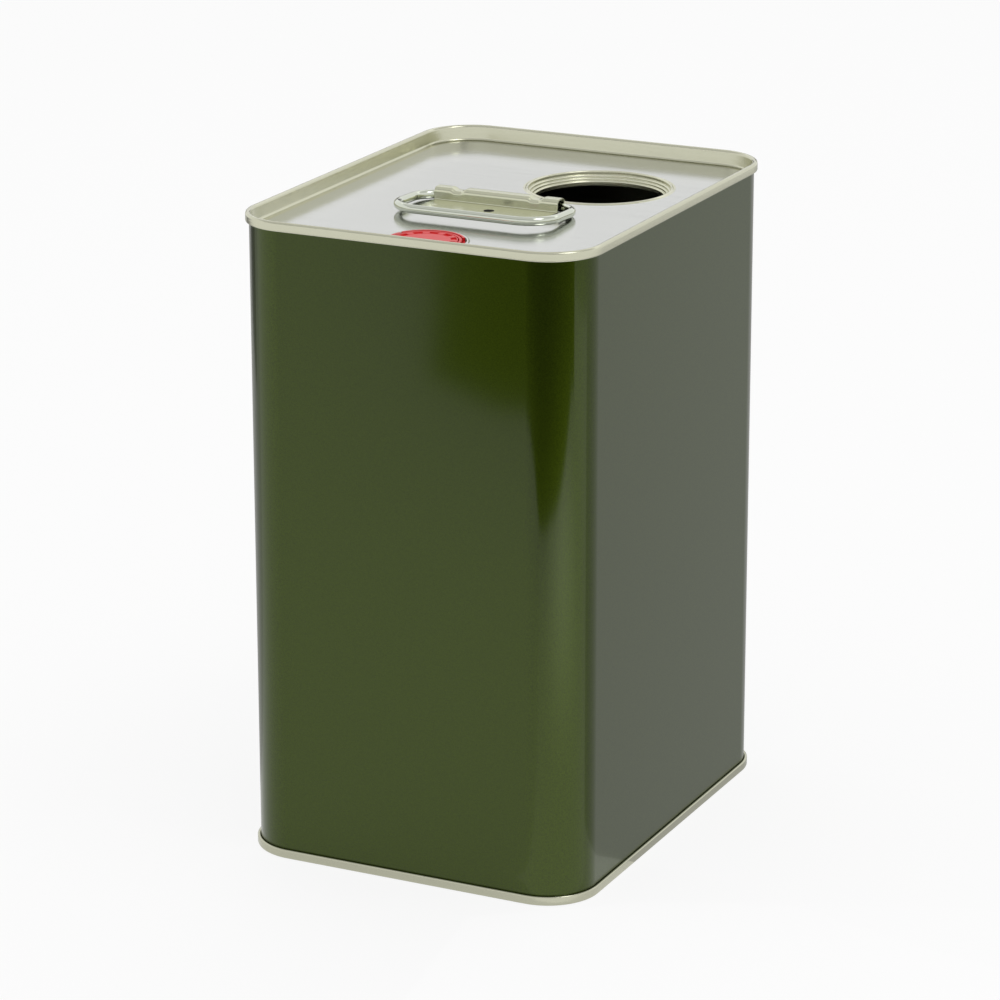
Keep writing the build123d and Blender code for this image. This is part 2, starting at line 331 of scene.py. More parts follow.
def rounded(points, radii, steps):
    """Outline with its corners turned into fine arcs."""
    line = []
    for index, (point, radius) in enumerate(zip(points, radii)):
        corner = Vector(point)
        if radius == 0:
            line.append(corner)
            continue
        before = (Vector(points[index - 1]) - corner).normalized()
        after = (Vector(points[(index + 1) % len(points)]) - corner).normalized()
        half = before.angle(after) / 2
        centre = corner + (before + after).normalized() * radius / math.sin(half)
        start = corner + before * radius / math.tan(half) - centre
        end = corner + after * radius / math.tan(half) - centre
        turn = math.atan2(start.x * end.y - start.y * end.x, start.dot(end))
        for step in range(steps + 1):
            line.append(centre + Matrix.Rotation(turn * step / steps, 2) @ start)
    return line


def sheet_section(skin, thickness, bends):
    """Section of a bent sheet, with its skin through the points and the metal on their right."""
    points = [Vector(point) for point in skin]
    runs = [(after - before).normalized() for before, after in zip(points, points[1:])]
    back = []
    skin_radii = [0.0]
    back_radii = [0.0]
    for index, point in enumerate(points):
        before = runs[max(index - 1, 0)]
        after = runs[min(index, len(runs) - 1)]
        right_before = Vector((before.y, -before.x))
        right_after = Vector((after.y, -after.x))
        both = right_before + right_after
        back.append(point + both / (1 + right_before.dot(right_after)) * thickness)
        if 0 < index < len(points) - 1:
            inner = bends[index - 1]
            turns_right = before.x * after.y - before.y * after.x < 0
            skin_radii.append(inner + thickness if turns_right else inner)
            back_radii.append(inner if turns_right else inner + thickness)
    radii = skin_radii + [0.0, 0.0] + back_radii[:0:-1] + [0.0]
    return rounded(points + back[::-1], radii, arc_steps)


def piece_of(name, vertices, faces, material):
    """Piece of the tin from points in millimetres."""
    mesh = bpy.data.meshes.new(name)
    mesh.from_pydata([Vector(point) * MM for point in vertices], [], faces)
    mesh.validate()
    mesh.materials.append(material)
    return put_in_scene(name, mesh)


def face_outwards(mesh):
    """Merge a mesh's double points and turn its faces outwards."""
    shape = bmesh.new()
    shape.from_mesh(mesh)
    bmesh.ops.remove_doubles(shape, verts=shape.verts, dist=merge_distance * MM)
    bmesh.ops.recalc_face_normals(shape, faces=shape.faces)
    shape.to_mesh(mesh)
    shape.free()


def keep_as_mesh(piece):
    """Keep what a piece's modifiers make of it as a plain mesh."""
    bpy.context.view_layer.update()
    graph = bpy.context.evaluated_depsgraph_get()
    mesh = bpy.data.meshes.new_from_object(piece.evaluated_get(graph), depsgraph=graph)
    piece.modifiers.clear()
    piece.data = mesh
    return piece


def smooth_piece(piece):
    """Round shading, with the sharper edges kept."""
    face_outwards(piece.data)
    for polygon in piece.data.polygons:
        polygon.use_smooth = True
    piece.data.set_sharp_from_angle(angle=math.radians(crease_angle))
    normals = piece.modifiers.new("face_normals", "WEIGHTED_NORMAL")
    normals.keep_sharp = True
    return keep_as_mesh(piece)


def new_tree(name, inputs):
    """Geometry node tree with one geometry going through and a socket for each named input."""
    tree = bpy.data.node_groups.new(name, "GeometryNodeTree")
    tree.interface.new_socket("Shape", in_out="INPUT", socket_type="NodeSocketGeometry")
    for label, kind in inputs:
        tree.interface.new_socket(label, in_out="INPUT", socket_type=kind)
    tree.interface.new_socket("Result", in_out="OUTPUT", socket_type="NodeSocketGeometry")
    return tree, tree.nodes.new("NodeGroupInput"), tree.nodes.new("NodeGroupOutput")


def chain(tree, first, *nodes):
    """Link a geometry through nodes, first output to first input."""
    last = first
    for node in nodes:
        tree.links.new(last, node.inputs[0])
        last = node.outputs[0]
    return last


def calculate(tree, operation, *values):
    """Result of a sum in a node tree, each value a number or another node's result."""
    node = tree.nodes.new("ShaderNodeMath")
    node.operation = operation
    for socket, value in zip(node.inputs, values):
        if isinstance(value, bpy.types.NodeSocket):
            tree.links.new(value, socket)
        else:
            socket.default_value = value
    return node.outputs["Value"]


def finish_tree(tree, entry, geometry, leave):
    """End of every tree: real geometry, round shading and the piece's material."""
    smooth = tree.nodes.new("GeometryNodeSetShadeSmooth")
    real = tree.nodes.new("GeometryNodeRealizeInstances")
    finish = tree.nodes.new("GeometryNodeSetMaterial")
    tree.links.new(entry.outputs["Finish"], finish.inputs["Material"])
    tree.links.new(chain(tree, geometry, smooth, real, finish), leave.inputs[0])


def carry_round_tree():
    """Carry the piece's own section round a rectangle with round corners."""
    tree, entry, leave = new_tree("carry_round", [
        ("Width", "NodeSocketFloat"), ("Depth", "NodeSocketFloat"), ("Corner", "NodeSocketFloat"),
        ("Corner Steps", "NodeSocketInt"), ("Finish", "NodeSocketMaterial")])
    path = tree.nodes.new("GeometryNodeCurvePrimitiveQuadrilateral")
    corners = tree.nodes.new("GeometryNodeFilletCurve")
    corners.mode = "POLY"
    section = tree.nodes.new("GeometryNodeMeshToCurve")
    skin = tree.nodes.new("GeometryNodeCurveToMesh")
    tree.links.new(entry.outputs["Width"], path.inputs["Width"])
    tree.links.new(entry.outputs["Depth"], path.inputs["Height"])
    tree.links.new(entry.outputs["Corner"], corners.inputs["Radius"])
    tree.links.new(entry.outputs["Corner Steps"], corners.inputs["Count"])
    tree.links.new(entry.outputs["Shape"], section.inputs["Mesh"])
    tree.links.new(section.outputs["Curve"], skin.inputs["Profile Curve"])
    finish_tree(tree, entry, chain(tree, path.outputs["Curve"], corners, skin), leave)
    return tree


def wire_tree():
    """Give the piece's own line the thickness of a wire."""
    tree, entry, leave = new_tree("wire", [
        ("Wire Radius", "NodeSocketFloat"), ("Round Steps", "NodeSocketInt"),
        ("Finish", "NodeSocketMaterial")])
    line = tree.nodes.new("GeometryNodeMeshToCurve")
    section = tree.nodes.new("GeometryNodeCurvePrimitiveCircle")
    skin = tree.nodes.new("GeometryNodeCurveToMesh")
    skin.inputs["Fill Caps"].default_value = True
    tree.links.new(entry.outputs["Wire Radius"], section.inputs["Radius"])
    tree.links.new(entry.outputs["Round Steps"], section.inputs["Resolution"])
    tree.links.new(section.outputs["Curve"], skin.inputs["Profile Curve"])
    finish_tree(tree, entry, chain(tree, entry.outputs["Shape"], line, skin), leave)
    return tree


def row_tree():
    """Repeat the piece's own shape along X."""
    tree, entry, leave = new_tree("row", [
        ("Count", "NodeSocketInt"), ("Pitch", "NodeSocketFloat"),
        ("Finish", "NodeSocketMaterial")])
    row = tree.nodes.new("GeometryNodeMeshLine")
    step = tree.nodes.new("ShaderNodeCombineXYZ")
    place = tree.nodes.new("GeometryNodeInstanceOnPoints")
    tree.links.new(entry.outputs["Pitch"], step.inputs["X"])
    tree.links.new(entry.outputs["Count"], row.inputs["Count"])
    tree.links.new(step.outputs["Vector"], row.inputs["Offset"])
    tree.links.new(entry.outputs["Shape"], place.inputs["Instance"])
    finish_tree(tree, entry, chain(tree, row.outputs["Mesh"], place), leave)
    return tree


def ring_tree():
    """Repeat the piece's own shape round the upright axis through its origin."""
    tree, entry, leave = new_tree("ring_round", [
        ("Count", "NodeSocketInt"), ("Centre", "NodeSocketVector"),
        ("Finish", "NodeSocketMaterial")])
    stack = tree.nodes.new("GeometryNodeMeshLine")
    stack.inputs["Offset"].default_value = (0.0, 0.0, 0.0)
    place = tree.nodes.new("GeometryNodeInstanceOnPoints")
    index = tree.nodes.new("GeometryNodeInputIndex")
    share = calculate(tree, "DIVIDE", index.outputs["Index"], entry.outputs["Count"])
    turn = tree.nodes.new("ShaderNodeCombineXYZ")
    tree.links.new(entry.outputs["Count"], stack.inputs["Count"])
    tree.links.new(entry.outputs["Centre"], stack.inputs["Start Location"])
    tree.links.new(calculate(tree, "MULTIPLY", share, math.tau), turn.inputs["Z"])
    tree.links.new(entry.outputs["Shape"], place.inputs["Instance"])
    tree.links.new(turn.outputs["Vector"], place.inputs["Rotation"])
    finish_tree(tree, entry, chain(tree, stack.outputs["Mesh"], place), leave)
    return tree


def grow(piece, tree, values):
    """Run a node tree on a piece, with its named inputs, and keep the result as a plain mesh."""
    modifier = piece.modifiers.new(tree.name, "NODES")
    modifier.node_group = tree
    for item in tree.interface.items_tree:
        if item.in_out == "INPUT" and item.name in values:
            modifier[item.identifier] = values[item.name]
    return keep_as_mesh(piece)


def line_piece(name, points, closed):
    """Piece that is only a line, for a node tree to work on."""
    edges = [(index, index + 1) for index in range(len(points) - 1)]
    if closed:
        edges.append((len(points) - 1, 0))
    mesh = bpy.data.meshes.new(name)
    mesh.from_pydata([Vector(point) * MM for point in points], edges, [])
    return put_in_scene(name, mesh)


def carried_round(name, section, material):
    """Section of distance outside the body's wall and height, carried round the tin."""
    piece = line_piece(name, [(reach, -height, 0) for reach, height in section], True)
    grow(piece, round_tin, {"Width": body_width * MM, "Depth": body_depth * MM,
                            "Corner": wall_corner_radius * MM, "Corner Steps": corner_steps,
                            "Finish": material})
    return smooth_piece(piece)


def round_points(section, centre, angles):
    """Section of radius and height, placed at each angle about an upright axis."""
    return [(centre[0] + radius * math.cos(angle), centre[1] + radius * math.sin(angle),
             centre[2] + height)
            for angle in angles for radius, height in section]


def skin_faces(rows, count, closed=False):
    """Faces between rows of points, where each row is a section."""
    faces = []
    for row in range(rows if closed else rows - 1):
        here = row * count
        beyond = (row + 1) % rows * count
        for index in range(count):
            after = (index + 1) % count
            faces.append((here + index, beyond + index, beyond + after, here + after))
    return faces


def end_faces(rows, count):
    """Faces that close the first and the last row of points."""
    return [tuple(range(count)), tuple(range((rows - 1) * count, rows * count))]


def turned(name, section, centre, material, steps=round_steps):
    """Section of radius and height turned about an upright axis."""
    angles = [math.tau * step / steps for step in range(steps)]
    faces = skin_faces(steps, len(section), closed=True)
    return smooth_piece(piece_of(name, round_points(section, centre, angles), faces, material))


def sector(name, section, centre, angles, steps, material):
    """Section of radius and height turned through part of a circle, with its ends open."""
    start, end = (math.radians(angle) for angle in angles)
    angles = [start + (end - start) * step / steps for step in range(steps + 1)]
    faces = skin_faces(steps + 1, len(section))
    return piece_of(name, round_points(section, centre, angles), faces, material)


def box_piece(name, low, high, material):
    """Plain box between two corners."""
    corners = [(x, y, z) for z in (low[2], high[2]) for x, y in
               ((low[0], low[1]), (high[0], low[1]), (high[0], high[1]), (low[0], high[1]))]
    return piece_of(name, corners, end_faces(2, 4) + skin_faces(2, 4), material)


def close_ends(piece):
    """Fill the open ends of a piece."""
    shape = bmesh.new()
    shape.from_mesh(piece.data)
    bmesh.ops.holes_fill(shape, edges=[edge for edge in shape.edges if edge.is_boundary])
    shape.to_mesh(piece.data)
    shape.free()


def aim_camera():
    """Stand the camera where the photograph was taken from, unshifted."""
    data = bpy.data.cameras.new("camera")
    data.lens = camera_lens
    data.sensor_width = sensor_width
    data.clip_end = camera_reach
    camera = put_in_scene("camera", data)
    turn = Matrix.Rotation(math.radians(camera_azimuth), 4, "Z")
    tilt = Matrix.Rotation(math.pi / 2 - math.radians(camera_elevation), 4, "X")
    roll = Matrix.Rotation(math.radians(camera_roll), 4, "Z")
    camera.matrix_world = Matrix.Translation(camera_place) @ turn @ tilt @ roll
    bpy.context.scene.camera = camera


def new_material(name, colour, metallic, roughness):
    """Material of one plain finish, with its tree and shader to build on."""
    material = bpy.data.materials.new(name)
    material.use_nodes = True
    tree = material.node_tree
    shader = tree.nodes["Principled BSDF"]
    shader.inputs["Base Color"].default_value = colour
    shader.inputs["Metallic"].default_value = metallic
    shader.inputs["Roughness"].default_value = roughness
    return material, tree, shader


def object_noise(tree, scale, stretch=even_stretch, detail=fine_detail):
    """Noise that is fixed to the piece, stretched along its axes."""
    place = tree.nodes.new("ShaderNodeTexCoord")
    mapping = tree.nodes.new("ShaderNodeMapping")
    mapping.inputs["Scale"].default_value = stretch
    noise = tree.nodes.new("ShaderNodeTexNoise")
    noise.inputs["Scale"].default_value = scale
    noise.inputs["Detail"].default_value = detail
    tree.links.new(place.outputs["Object"], mapping.inputs["Vector"])
    tree.links.new(mapping.outputs["Vector"], noise.inputs["Vector"])
    return noise.outputs["Fac"]


def distance_from(tree, point):
    """How far a place on the piece lies from a point."""
    place = tree.nodes.new("ShaderNodeTexCoord")
    distance = tree.nodes.new("ShaderNodeVectorMath")
    distance.operation = "DISTANCE"
    distance.inputs[1].default_value = point
    tree.links.new(place.outputs["Object"], distance.inputs[0])
    return distance.outputs["Value"]


def spread(tree, value, reach, span, course="LINEAR"):
    """Carry a value from its own reach over to a span, and hold it beyond the ends."""
    node = tree.nodes.new("ShaderNodeMapRange")
    node.interpolation_type = course
    for label, end in zip(("From Min", "From Max", "To Min", "To Max"), (*reach, *span)):
        node.inputs[label].default_value = end
    tree.links.new(value, node.inputs["Value"])
    return node.outputs["Result"]


def vary(tree, factor, span, target):
    """Spread a grain over two values on a shader's socket."""
    tree.links.new(spread(tree, factor, grain_reach, span), target)


def vary_colour(tree, factor, colours, target):
    """Spread a grain over two colours on a shader's socket."""
    ramp = tree.nodes.new("ShaderNodeValToRGB")
    for stop, position, colour in zip(ramp.color_ramp.elements, grain_reach, colours):
        stop.position = position
        stop.color = colour
    tree.links.new(factor, ramp.inputs["Fac"])
    tree.links.new(ramp.outputs["Color"], target)


def roughen(tree, shader, height, strength, depth):
    """Small bumps in a finish that are too fine for its mesh."""
    bump = tree.nodes.new("ShaderNodeBump")
    bump.inputs["Strength"].default_value = strength
    bump.inputs["Distance"].default_value = depth
    tree.links.new(height, bump.inputs["Height"])
    tree.links.new(bump.outputs["Normal"], shader.inputs["Normal"])


def shade(colour, share):
    """A colour made darker or lighter by a share."""
    return tuple(channel * share for channel in colour[:3]) + (1.0,)


def olive_lacquer():
    """Clear glossy varnish over metallic olive ink on tinplate."""
    material, tree, shader = new_material("olive_lacquer", lacquer_colour, 1.0, lacquer_roughness)
    colours = [shade(lacquer_colour, 1 - lacquer_mottle), shade(lacquer_colour, 1 + lacquer_mottle)]
    vary_colour(tree, object_noise(tree, lacquer_grain), colours, shader.inputs["Base Color"])
    shader.inputs["Coat Weight"].default_value = varnish_weight
    shader.inputs["Coat Roughness"].default_value = varnish_roughness
    shader.inputs["Coat IOR"].default_value = varnish_index
    return material


def tinplate(name, colour, roughness):
    """Tinned sheet with the mill's faint lines along X."""
    material, tree, shader = new_material(name, colour, 1.0, roughness[0])
    streaks = object_noise(tree, streak_grain, streak_stretch, streak_detail)
    vary(tree, streaks, roughness, shader.inputs["Roughness"])
    lines = object_noise(tree, sheet_grain, sheet_stretch)
    roughen(tree, shader, lines, sheet_bump, grain_depth * MM)
    return material


def rolled_tinplate(name, colour, roughness, lean_angle):
    """Tinned sheet as seaming rolls leave it: level lines, and sides that lean back."""
    material, tree, shader = new_material(name, colour, 1.0, roughness[0])
    lines = object_noise(tree, seaming_grain, level_stretch)
    vary(tree, lines, roughness, shader.inputs["Roughness"])
    place = tree.nodes.new("ShaderNodeTexCoord")
    split = tree.nodes.new("ShaderNodeSeparateXYZ")
    tree.links.new(place.outputs["Object"], split.inputs["Vector"])
    lean = calculate(tree, "MULTIPLY", split.outputs["Z"], -math.tan(math.radians(lean_angle)))
    height = calculate(tree, "MULTIPLY_ADD", lines, seam_line_depth * MM, lean)
    roughen(tree, shader, height, 1.0, 1.0)
    return material


def scorched_tinplate(name, colour, roughness):
    """Tinplate burnt black in an uneven spot over the bracket's middle weld."""
    material, tree, shader = new_material(name, colour, 1.0, roughness)
    distance = distance_from(tree, weld_place(weld_count // 2) * MM)
    uneven = calculate(tree, "MULTIPLY_ADD", object_noise(tree, scorch_grain),
                       scorch_unevenness * MM, distance)
    edge = ((scorch_reach - scorch_edge) * MM, (scorch_reach + scorch_edge) * MM)
    clean = spread(tree, uneven, edge, (0.0, 1.0))
    vary_colour(tree, clean, [burnt_colour, colour], shader.inputs["Base Color"])
    vary(tree, clean, (burnt_roughness, roughness), shader.inputs["Roughness"])
    lines = object_noise(tree, sheet_grain, bracket_stretch)
    roughen(tree, shader, lines, bracket_bump, grain_depth * MM)
    return material


def plastic(name, colour, roughness):
    """Moulded plastic, rubber or foam with a fine even skin."""
    material, tree, shader = new_material(name, colour, 0.0, roughness)
    roughen(tree, shader, object_noise(tree, sheet_grain), plastic_bump, grain_depth * MM)
    return material


def dress(node, material):
    """Show a solid itself in a material."""
    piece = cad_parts[node]
    piece.data.materials.clear()
    piece.data.materials.append(material)


def area_lamp(name, place, target, size, power):
    """Square soft lamp at a place, turned to a target."""
    data = bpy.data.lights.new(name, "AREA")
    data.shape = "RECTANGLE"
    data.size = data.size_y = size
    data.energy = power
    lamp = put_in_scene(name, data)
    lamp.location = place
    aim = Vector(target) - Vector(place)
    lamp.rotation_euler = aim.to_track_quat("-Z", "Y").to_euler()


def seen_share(tree):
    """One for what the camera, metal or glass looks at, and nothing for light on the pieces."""
    rays = tree.nodes.new("ShaderNodeLightPath")
    seen = rays.outputs["Is Camera Ray"]
    for label in ("Is Glossy Ray", "Is Transmission Ray"):
        seen = calculate(tree, "MAXIMUM", seen, rays.outputs[label])
    return seen


def mix_into(tree, share, first, second, surface):
    """Blend two shaders by a share into an output's surface."""
    mix = tree.nodes.new("ShaderNodeMixShader")
    for socket, source in zip(mix.inputs, (share, first, second)):
        tree.links.new(source, socket)
    tree.links.new(mix.outputs["Shader"], surface)


def light_studio():
    """Two soft lamps in even surroundings, which are seen as plain white."""
    area_lamp("top_light", top_light_place, (0.0, 0.0, 0.0), top_light_size, top_light_power)
    area_lamp("side_light", side_light_place, side_light_target, side_light_size, side_light_power)
    world = bpy.data.worlds.new("studio")
    bpy.context.scene.world = world
    world.use_nodes = True
    tree = world.node_tree
    tree.nodes.clear()
    output = tree.nodes.new("ShaderNodeOutputWorld")
    seen = tree.nodes.new("ShaderNodeBackground")
    seen.inputs["Strength"].default_value = 1.0
    seen.inputs["Color"].default_value = white
    around = tree.nodes.new("ShaderNodeBackground")
    around.inputs["Strength"].default_value = surroundings_strength
    mix_into(tree, seen_share(tree), around.outputs["Background"], seen.outputs["Background"],
             output.inputs["Surface"])


def flat_stage(name, outline, height, material):
    """Flat sheet of the studio, which is no part of the tin."""
    mesh = bpy.data.meshes.new(name)
    mesh.from_pydata([(x, y, height) for x, y in outline], [], [tuple(range(len(outline)))])
    mesh.materials.append(material)
    piece = put_in_scene(name, mesh)
    return piece


def square(half):
    """Corners of a square about the origin."""
    return [(-half, -half), (half, -half), (half, half), (-half, half)]


def lay_card(name, outline, height, brightness):
    """Level card that only shows as a painted reflection in the tin, dark or glowing though it is
    no lamp.
    """
    material, _, shader = new_material(name, black, 0.0, 1.0)
    shader.inputs["Emission Color"].default_value = white
    shader.inputs["Emission Strength"].default_value = brightness
    card = flat_stage(name, outline, height, material)
    card.visible_camera = False
    card.visible_diffuse = False
    card.visible_shadow = False
    return card


def fade_card(card, middle, reach, brightness):
    """Make a card glow brightest at its middle, a painted pool of light, and plain white from a
    distance on.
    """
    tree = card.data.materials[0].node_tree
    distance = distance_from(tree, (*middle, 0.0))
    fade = spread(tree, distance, (0.0, reach), (brightness, 1.0), "SMOOTHSTEP")
    tree.links.new(fade, tree.nodes["Principled BSDF"].inputs["Emission Strength"])


def set_stage():
    """White table, and the dark and glowing cards that paint light and shade into the metal's
    reflections.
    """
    material, tree, shader = new_material("white_table", table_colour, 0.0, table_roughness)
    glow = tree.nodes.new("ShaderNodeEmission")
    looked_at = tree.nodes.new("ShaderNodeLightPath").outputs["Is Camera Ray"]
    mirrored = calculate(tree, "MULTIPLY", seen_share(tree), table_glow_mirrored)
    share = calculate(tree, "MULTIPLY_ADD", looked_at, table_glow_seen, mirrored)
    mix_into(tree, share, shader.outputs["BSDF"], glow.outputs["Emission"],
             tree.nodes["Material Output"].inputs["Surface"])
    flat_stage("table", square(table_half), 0.0, material)
    lay_card("far_floor", far_floor, card_lift, far_floor_painted_shade)
    near = lay_card("near_floor", near_floor, card_lift + card_step, 1.0)
    fade_card(near, near_floor_middle, near_floor_reach, near_floor_painted_glow)
    lay_card("dark_floor", dark_floor, card_lift + 2 * card_step, 0.0)
    lay_card("dark_side", dark_side, card_lift + 2 * card_step, dark_side_painted_shade)
    lay_card("grey_ceiling", square(ceiling_half), ceiling_height, ceiling_painted_shade)
    strip = lay_card("dark_strip", dark_strip, 0.0, 0.0)
    upright = Matrix.Rotation(math.pi / 2, 4, "X")
    strip.data.transform(Matrix.Translation((0.0, dark_strip_distance, 0.0)) @ upright)


def end_section(inner_points, inner_bends, sink):
    """Section of an end: panel, sunk wall, rim and the hook folded under the body's hook."""
    hook_top = tin_height - end_sheet - layer_gap - body_sheet - hook_room
    skin = inner_points + [
        (-wall_step, tin_height - sink),
        (-wall_step, tin_height),
        (seam_reach, tin_height),
        (seam_reach, tin_height - seam_height),
        (layer_gap, tin_height - seam_height),
        (layer_gap, hook_top),
    ]
    bends = inner_bends + [foot_bend, rim_bend, rim_bend, hook_bend, hook_bend]
    return sheet_section(skin, end_sheet, bends)


def circle(centre, radius):
    """Points round a circle."""
    turns = [math.tau * step / round_steps for step in range(round_steps)]
    return [(centre[0] + radius * math.cos(turn), centre[1] + radius * math.sin(turn))
            for turn in turns]


def round_rectangle(edge):
    """Corner points of a rectangle with round corners, its rim a given distance inside the wall."""
    half_width = body_width / 2 - edge
    half_depth = body_depth / 2 - edge
    corners = [(half_width, -half_depth), (half_width, half_depth),
               (-half_width, half_depth), (-half_width, -half_depth)]
    return rounded(corners, 4 * [wall_corner_radius - edge], corner_steps)


def flat_panel(name, edge, height, holes, material):
    """Flat sheet inside the rim, with round holes of a given place and radius."""
    shape = bmesh.new()
    for loop in [round_rectangle(edge)] + [circle(place, radius) for place, radius in holes]:
        points = [shape.verts.new((x * MM, y * MM, height * MM)) for x, y in loop]
        for index, point in enumerate(points):
            shape.edges.new((points[index - 1], point))
    bmesh.ops.triangle_fill(shape, use_beauty=True, edges=shape.edges, normal=(0, 0, 1))
    upper = shape.verts[:] + shape.edges[:] + shape.faces[:]
    under = bmesh.ops.duplicate(shape, geom=upper)["geom"]
    points = [item for item in under if isinstance(item, bmesh.types.BMVert)]
    faces = [item for item in under if isinstance(item, bmesh.types.BMFace)]
    bmesh.ops.translate(shape, verts=points, vec=(0, 0, -end_sheet * MM))
    bmesh.ops.reverse_faces(shape, faces=faces)
    mesh = bpy.data.meshes.new(name)
    shape.to_mesh(mesh)
    shape.free()
    mesh.materials.append(material)
    return put_in_scene(name, mesh)


def stand_for(piece, node, body):
    """Show a piece in a solid's stead, moving with its body."""
    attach(piece, body)
    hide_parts(node)


def make_wall():
    """The wall, lacquered outside and bare inside, with the bare tin darkened as painted shade."""
    top = tin_height - end_sheet - layer_gap
    low = tin_height - top
    reach = seam_reach - end_sheet - layer_gap
    hook = top - (tin_height - seam_height + end_sheet + hook_room)
    skin = [(reach, low + hook), (reach, low), (-body_sheet, low),
            (-body_sheet, top), (reach, top), (reach, top - hook)]
    wall = carried_round("wall", sheet_section(skin, body_sheet, 4 * [body_hook_bend]), lacquer)
    wall.data.materials.append(shaded_inside_tin)
    for polygon in wall.data.polygons:
        if polygon.center.xy.dot(polygon.normal.xy) < 0:
            polygon.material_index = 1
    stand_for(wall, "body_shell", "root")


def make_side_weld():
    """Bare stripe and raised lap where the wall's two edges are welded."""
    skin = body_depth / 2
    profile = [(-lap_margin, 0), (-lap_margin, bare_rise), (-lap_width / 2, bare_rise),
               (-lap_width / 2, lap_rise), (lap_width / 2, lap_rise), (lap_width / 2, bare_rise),
               (lap_margin, bare_rise), (lap_margin, 0)]
    low = seam_height + lap_end_gap
    vertices = [(x, skin + y, z) for z in (low, tin_height - low) for x, y in profile]
    faces = skin_faces(2, len(profile)) + end_faces(2, len(profile))
    weld = smooth_piece(piece_of("side_weld", vertices, faces, bare_tin))
    stand_for(weld, "body_shell", "root")


def make_lid():
    """The upper end: seam, sunk panel, open neck and the well for the pourer."""
    neck = (neck_x, neck_y, panel_top)
    well = (well_x, well_y, panel_top)
    neck_rim = neck_mouth_radius + neck_bead_crest + neck_bead_slope + neck_margin
    holes = [(neck, neck_rim), (well, well_bead_radius + well_margin)]
    rim = carried_round("lid_rim", end_section([(-panel_edge, panel_top)], [], lid_sink), rim_tin)
    sheet = flat_panel("lid_sheet", panel_edge, panel_top, holes, panel_tin)
    throat = turned("neck", neck_section(), neck, neck_tin)
    seat = turned("pourer_well", well_section(), well, panel_tin)
    for piece in (rim, sheet, throat, seat):
        stand_for(piece, "lid_panel", "root")


def neck_section():
    """Section of the open neck, from the hem at its foot up its ledges and out over the bead."""
    opening = neck_mouth_radius - neck_ledges * neck_ledge
    foot = -(neck_ledges * neck_drop + neck_last_drop)
    skin = [(opening + neck_hem, foot), (opening, foot)]
    for ledge in range(neck_ledges):
        level = -(neck_ledges - ledge) * neck_drop
        radius = opening + ledge * neck_ledge
        skin += [(radius, level), (radius + neck_ledge, level)]
    crest = neck_mouth_radius + neck_bead_crest
    outside = crest + neck_bead_slope
    skin += [(neck_mouth_radius, neck_bead_rise), (crest, neck_bead_rise), (outside, 0),
             (outside + neck_margin, 0)]
    return sheet_section(skin, end_sheet, (2 * neck_ledges + 4) * [pressed_bend])


def well_section():
    """Section of the well, from the socket's hole up its wall and out over the bead."""
    skin = [(well_hole_radius, -well_sink), (well_wall, -well_sink), (well_wall, well_bead_rise),
            (well_wall + well_bead_crest, well_bead_rise), (well_bead_radius, 0),
            (well_bead_radius + well_margin, 0)]
    return sheet_section(skin, end_sheet, 4 * [pressed_bend])


def make_base():
    """The lower end: the same seam turned over, with one expansion step."""
    level = tin_height - base_sink
    raised = level + base_step_rise
    step_start = base_step_inset + base_step_run
    edge = step_start + panel_margin
    steps = [(-edge, raised), (-step_start, raised), (-base_step_inset, level)]
    section = end_section(steps, [base_step_bend, base_step_bend], base_sink)
    turned_over = [(reach, tin_height - height) for reach, height in section]
    rim = carried_round("base_rim", turned_over, shaded_foot_tin)
    under = flat_panel("base_sheet", edge, tin_height - raised + end_sheet, [], panel_tin)
    for piece in (rim, under):
        stand_for(piece, "base_panel", "root")


def make_handle():
    """Loop of wire, a little tilted, with its joint at the back inside the bracket."""
    low, high = box_mm("carry_handle")
    half = (high.x - low.x - wire_diameter) / 2
    tilt = math.radians(handle_tilt)
    reach = (high.y - low.y - wire_diameter) / math.cos(tilt)
    points = [(-handle_joint_gap / 2, 0), (-half, 0), (-half, -reach),
              (half, -reach), (half, 0), (handle_joint_gap / 2, 0)]
    bends = [0.0, handle_back_radius, handle_front_radius,
             handle_front_radius, handle_back_radius, 0.0]
    middle = (low.x + high.x) / 2
    back = high.y - wire_diameter / 2
    height = panel_top + wire_lid_gap + wire_diameter / 2
    line = [(middle + x, back + y * math.cos(tilt), height - y * math.sin(tilt))
            for x, y in rounded(points, bends, wire_steps)]
    handle = line_piece("handle", line, False)
    grow(handle, wire_tree(), {"Wire Radius": wire_diameter / 2 * MM,
                               "Round Steps": 2 * wire_steps, "Finish": wire_steel})
    stand_for(smooth_piece(handle), "carry_handle", "handle")


def smooth_step(value):
    """Soft rise from zero to one."""
    share = min(max(value, 0.0), 1.0)
    return share * share * (3 - 2 * share)


def crimp_at(x, middle):
    """How far a crimp presses the bracket's crown down at a place along it."""
    depth = 0.0
    for side in (-1, 1):
        distance = abs(x - middle - side * crimp_spacing / 2)
        depth += crimp_depth * smooth_step((crimp_width / 2 - distance) / crimp_slope)
    return depth


